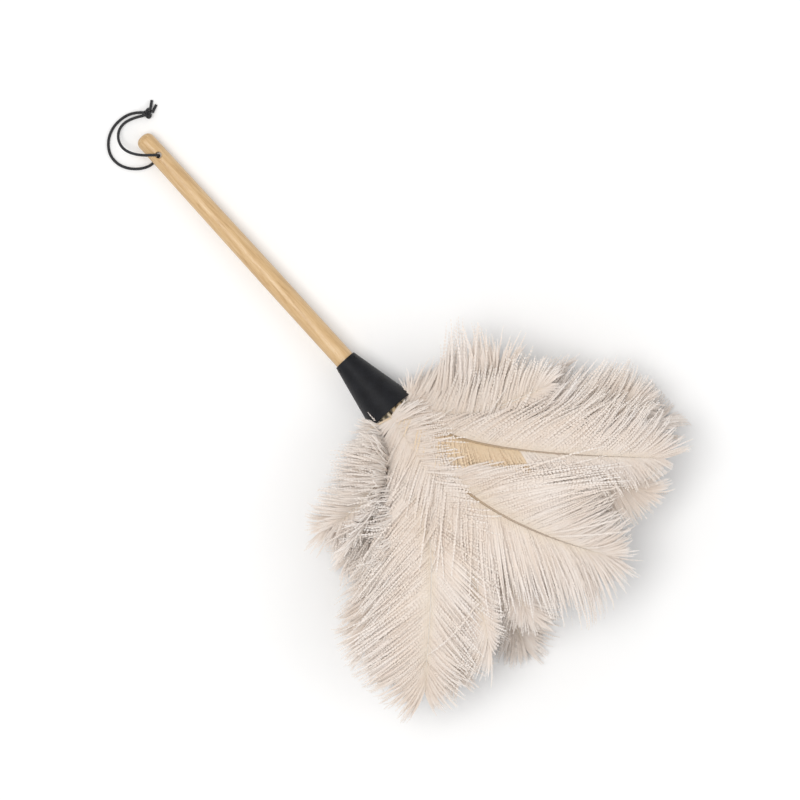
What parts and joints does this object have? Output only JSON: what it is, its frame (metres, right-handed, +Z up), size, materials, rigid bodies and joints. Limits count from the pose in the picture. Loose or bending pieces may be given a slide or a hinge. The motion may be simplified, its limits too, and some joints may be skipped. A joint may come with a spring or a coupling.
{
  "type": "feather duster",
  "caption": "Ostrich feather duster: round wooden handle with a cord hanging loop, conical leather cuff and a full head of pale plumes, lying flat.",
  "frame": {"origin": "on the floor, under the middle of the duster's bounding box without its cord loop", "axes": "+X along the handle from its free end towards the plumes, +Z up from the floor it lies on, +Y to the left of +X"},
  "size_m": [0.5132, 0.2898, 0.1135],
  "materials": {
    "beech": "satin",
    "black_leather": "satin",
    "black_thread": "matte",
    "black_tack": "satin",
    "binding_thread": "matte",
    "ostrich_plume": "matte",
    "black_cord": "matte"
  },
  "bodies": {
    "duster": {"handle": "beech", "cuff": "black_leather", "cuff_seam_stitches": "black_thread", "cuff_tacks": "black_tack", "binding_inner": "binding_thread", "binding_middle": "binding_thread", "binding_outer": "binding_thread", "plume_inner_01": "ostrich_plume", "plume_inner_02": "ostrich_plume", "plume_inner_03": "ostrich_plume", "plume_inner_04": "ostrich_plume", "plume_inner_05": "ostrich_plume", "plume_inner_06": "ostrich_plume", "plume_inner_07": "ostrich_plume", "plume_inner_08": "ostrich_plume", "plume_inner_09": "ostrich_plume", "plume_inner_10": "ostrich_plume", "plume_inner_11": "ostrich_plume", "plume_inner_12": "ostrich_plume", "plume_middle_01": "ostrich_plume", "plume_middle_02": "ostrich_plume", "plume_middle_03": "ostrich_plume", "plume_middle_04": "ostrich_plume", "plume_middle_05": "ostrich_plume", "plume_middle_06": "ostrich_plume", "plume_middle_07": "ostrich_plume", "plume_middle_08": "ostrich_plume", "plume_middle_09": "ostrich_plume", "plume_middle_10": "ostrich_plume", "plume_middle_11": "ostrich_plume", "plume_middle_12": "ostrich_plume", "plume_middle_13": "ostrich_plume", "plume_middle_14": "ostrich_plume", "plume_outer_01": "ostrich_plume", "plume_outer_02": "ostrich_plume", "plume_outer_03": "ostrich_plume", "plume_outer_04": "ostrich_plume", "plume_outer_05": "ostrich_plume", "plume_outer_06": "ostrich_plume", "plume_outer_07": "ostrich_plume", "plume_outer_08": "ostrich_plume", "plume_outer_09": "ostrich_plume", "plume_outer_10": "ostrich_plume", "plume_outer_11": "ostrich_plume", "plume_outer_12": "ostrich_plume", "plume_outer_13": "ostrich_plume", "plume_outer_14": "ostrich_plume", "plume_outer_15": "ostrich_plume", "plume_outer_16": "ostrich_plume"},
    "cord loop": {"loop_upper_strand": "black_cord", "loop_lower_strand": "black_cord", "loop_knot": "black_cord", "loop_tails": "black_cord"}
  },
  "joints": [
    {"name": "loop swing", "type": "hinge", "parent": "duster", "child": "cord loop", "pos_m": [-0.227, -0.002, 0.0108], "axis": [0, 0, 1], "range_deg": [-112, 98]}
  ]
}
